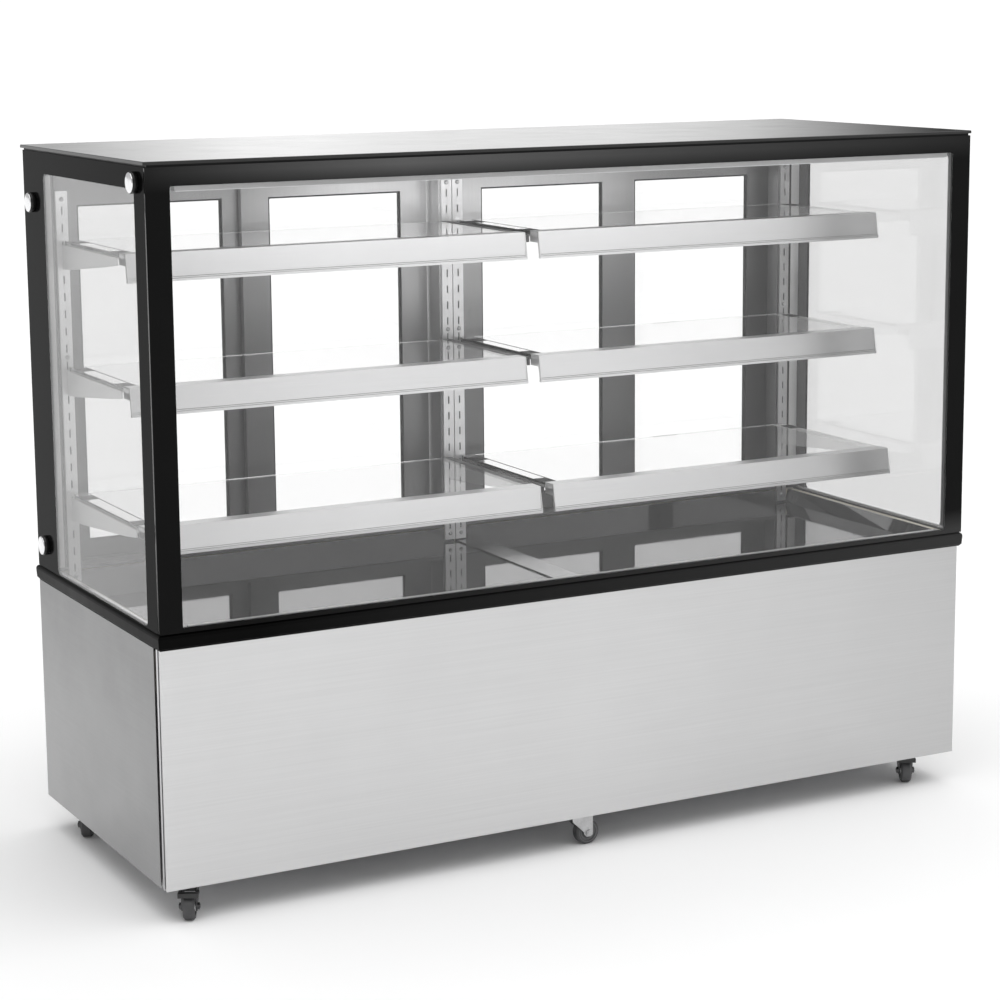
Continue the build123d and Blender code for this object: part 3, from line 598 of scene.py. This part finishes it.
# ---------- rear doors: glazing seals and finger cups ----------

for side, sign in SIDES:
    for door, (low_x, high_x), pull in DOOR_PANES:
        body = f"{side}_{door}_door"
        low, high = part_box(f"{body}_frame")
        glass_low, glass_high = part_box(f"{body}_glass")
        u = sorted((sign * low_x / 1000, sign * high_x / 1000))
        for face, y in (("front", glass_low.y - 0.0011), ("rear", glass_high.y + 0.0011)):
            loops = [
                rounded(u[0] + 0.0001, u[1] - 0.0001, 0.5921, 1.2739, 0.001, 2),
                rounded(u[0] + 0.0035, u[1] - 0.0035, 0.5955, 1.2705, 0.002, 3),
            ]
            place = Matrix.Translation((0, y, 0)) @ UPRIGHT
            plate(f"{body}_seal_{face}", loops, 0.002, place, "rubber_black", body)
        at_cup = Matrix.Translation((sign * pull / 1000, high.y - 0.0002, CUP_HEIGHT / 1000))
        place = at_cup @ UPRIGHT
        rim = [rounded(-0.0145, 0.0145, -0.0575, 0.0575, 0.0135)]
        rim.append(rounded(-0.0115, 0.0115, -0.0545, 0.0545, 0.0105))
        plate(f"{body}_finger_cup_rim", rim, 0.0012, place, "control_black", body)
        back = Matrix.Translation((0, -0.0074, 0)) @ place
        plate(f"{body}_finger_cup_back", [rounded(-0.0117, 0.0117, -0.0547, 0.0547, 0.0106)], 0.0008, back,
              "control_black", body)


def screw(name, origin, direction, radius=0.0034, material="chrome"):
    """A domed screw head with a shallow recess, standing on origin and facing along direction."""
    dome = [(0.0, 0.0002), (radius, 0.0002), (radius, 0.0007), (radius * 0.86, 0.0016)]
    dome += [(radius * 0.5, 0.0021), (radius * 0.28, 0.0019), (0.0, 0.0013)]
    turned(name, dome, facing(origin, direction), material, "cabinet", 20)


for index, x in enumerate((-880, -560, -200, 200, 560, 880)):
    for row, z in enumerate((78, 424)):
        screw(f"rear_screw_{index}_{row}", mm(x, REAR_FACE, z), (0, 1, 0))
for index, (x, z) in enumerate(((527, 455), (527, 505), (793, 455), (793, 505))):
    screw(f"control_screw_{index}", mm(x, 345, z), (0, 1, 0), 0.003)
for sign in (-1, 1):
    for index, z in enumerate((620, 840, 1060, 1280)):
        screw(f"jamb_screw_{index}_{'l' if sign < 0 else 'r'}", mm(sign * 875, 337, z), (0, 1, 0))

for index, x in enumerate(STANDARDS):
    for row, z in enumerate((538, 981, 1292)):
        screw(f"standard_screw_{index}_{row}", mm(x, 244.7, z), (0, -1, 0), 0.0044, "zinc")

# ---------- controller face ----------

plate("display_window", [rounded(-0.0308, 0.0308, -0.0128, 0.0128, 0.001)], 0.0006,
      Matrix.Translation(mm(DISPLAY[0], 347.0, DISPLAY[1])) @ UPRIGHT, "gloss_black")
SEGMENTS = {"3": "abcdg", "8": "abcdefg"}
PLACES = {
    "a": (0, 1, True), "g": (0, 0, True), "d": (0, -1, True),
    "b": (1, 0.5, False), "c": (1, -0.5, False), "f": (-1, 0.5, False), "e": (-1, -0.5, False),
}
bars = []
for digit, centre in (("3", 667), ("8", 684)):
    for segment in SEGMENTS[digit]:
        across, up, flat = PLACES[segment]
        x, z = centre - 4.2 * across, DISPLAY[1] + 7.2 * up
        half = (3.2, 0.9) if flat else (0.9, 2.9)
        bars.append(((x - half[0], x + half[0]), (347.3, 347.8), (z - half[1], z + half[1])))
bevelled("display_digits", bars, "digits", bevel=0.0001)
for index, x in enumerate((730, 747, 764, 781)):
    button = [(0.0, 0.0), (0.0042, 0.0), (0.0042, 0.0008), (0.0036, 0.0014), (0.0, 0.0016)]
    turned(f"controller_key_{index}", button, facing(mm(x, 346.2, DISPLAY[1]), (0, 1, 0)), "hub_grey",
           "cabinet", 24)

# ---------- casters: hub discs and axle washers ----------

for joint in frame["joints"]:
    if not joint["name"].endswith("_wheel_roll"):
        continue
    centre, axis = Vector(joint["pos_m"]), Vector(joint["axis"])
    body = joint["child"]
    for index, sign in enumerate((-1, 1)):
        disc = [(0.0052, 0.0076), (0.0158, 0.0087), (0.0170, 0.0092), (0.0184, 0.0108), (0.0196, 0.0112)]
        disc += [(0.0203, 0.0110), (0.0203, 0.0100), (0.0052, 0.0070), (0.0052, 0.0076)]
        outward = facing(centre, axis * sign)
        turned(f"{body}_hub_disc_{index}", disc, outward, "hub_grey", body, 48)
        washer = [(0.0047, 0.0098), (0.0088, 0.0098), (0.0092, 0.0102), (0.0092, 0.0113), (0.0047, 0.0116),
                  (0.0047, 0.0098)]
        turned(f"{body}_washer_{index}", washer, outward, "chrome", body, 32)

# ---------- floor, light and camera ----------

floor_mesh = bpy.data.meshes.new("floor")
shape = bmesh.new()
bmesh.ops.create_grid(shape, x_segments=2, y_segments=2, size=60)
shape.to_mesh(floor_mesh)
shape.free()
floor_material, tree, shader, _ = new_material("floor_paint")
tone = ramp(tree, noise(tree, 0.6, 3), (0.93, 0.93, 0.93), (0.95, 0.95, 0.95))
tree.links.new(tone, shader.inputs["Base Color"])
shader.inputs["Roughness"].default_value = 0.9
shader.inputs["Specular IOR Level"].default_value = 0.1
M["floor"] = floor_material
link("floor", floor_mesh, "floor", None)

world = bpy.data.worlds.new("studio")
bpy.context.scene.world = world
world.use_nodes = True
sky = world.node_tree
sky.nodes.clear()
surface = sky.nodes.new("ShaderNodeOutputWorld")
backdrop = sky.nodes.new("ShaderNodeBackground")
backdrop.inputs[0].default_value = (1, 1, 1, 1)
backdrop.inputs[1].default_value = 1.05
walls = sky.nodes.new("ShaderNodeBackground")
walls.inputs[1].default_value = 1.4
direction = sky.nodes.new("ShaderNodeTexCoord")
split = sky.nodes.new("ShaderNodeSeparateXYZ")
sky.links.new(direction.outputs["Generated"], split.inputs[0])
bearing = sky.nodes.new("ShaderNodeMath")
bearing.operation = "ARCTAN2"
sky.links.new(split.outputs[0], bearing.inputs[0])
sky.links.new(split.outputs[1], bearing.inputs[1])
WALL = ((-180, 0.40), (-60, 0.40), (10, 0.38), (18, 0.40), (20.5, 0.68), (23, 0.95), (26, 0.8), (31.5, 0.72),
        (34, 0.55), (36, 0.24), (38, 0.05), (55, 0.05), (75, 0.36), (180, 0.40))
around = levels(sky, bearing.outputs[0], [(math.radians(angle), level) for angle, level in WALL])
height = levels(sky, split.outputs[2], ((-0.1, 0.0), (0.28, 0.0), (0.45, 1.0), (1.0, 1.0)))
sky.links.new(blend_colours(sky, height, around, (0.40, 0.40, 0.40)), walls.inputs[0])
path = sky.nodes.new("ShaderNodeLightPath")
seen = sky.nodes.new("ShaderNodeMath")
seen.operation = "MAXIMUM"
sky.links.new(path.outputs["Is Camera Ray"], seen.inputs[0])
sky.links.new(path.outputs["Is Transmission Ray"], seen.inputs[1])
either = sky.nodes.new("ShaderNodeMixShader")
sky.links.new(seen.outputs[0], either.inputs[0])
sky.links.new(walls.outputs[0], either.inputs[1])
sky.links.new(backdrop.outputs[0], either.inputs[2])
sky.links.new(either.outputs[0], surface.inputs["Surface"])


def lamp(name, kind, location, target, power):
    data = bpy.data.lights.new(name, kind)
    data.energy = power
    holder = bpy.data.objects.new(name, data)
    bpy.context.scene.collection.objects.link(holder)
    holder.matrix_world = facing(location, Vector(location) - Vector(target))
    holder.visible_camera = False
    holder.visible_transmission = False
    return data


lamp("overhead", "SUN", (0.3, -0.6, 4), (0, 0, 0), 2.0).angle = math.radians(80)
bar = lamp("light_bar", "AREA", (0, -0.325, 1.338), (0, 0.3, 1.0), 1.2)
bar.shape = "RECTANGLE"
bar.size, bar.size_y = 1.66, 0.02

data = bpy.data.cameras.new("camera")
data.lens = LENS
data.sensor_width = SENSOR
data.shift_y = SHIFT
data.clip_end = 200
camera = bpy.data.objects.new("camera", data)
bpy.context.scene.collection.objects.link(camera)
azimuth, elevation, roll = (math.radians(angle) for angle in (AZIMUTH, ELEVATION, ROLL))
back = Vector((math.sin(azimuth) * math.cos(elevation), -math.cos(azimuth) * math.cos(elevation),
               math.sin(elevation)))
right = Vector((0, 0, 1)).cross(back).normalized()
up = back.cross(right)
level_right = right * math.cos(roll) + up * math.sin(roll)
level_up = -right * math.sin(roll) + up * math.cos(roll)
camera.matrix_world = Matrix((
    (level_right.x, level_up.x, back.x, CAMERA_PLACE[0]),
    (level_right.y, level_up.y, back.y, CAMERA_PLACE[1]),
    (level_right.z, level_up.z, back.z, CAMERA_PLACE[2]),
    (0, 0, 0, 1),
))
bpy.context.scene.camera = camera
bpy.context.scene.view_settings.view_transform = "Standard"
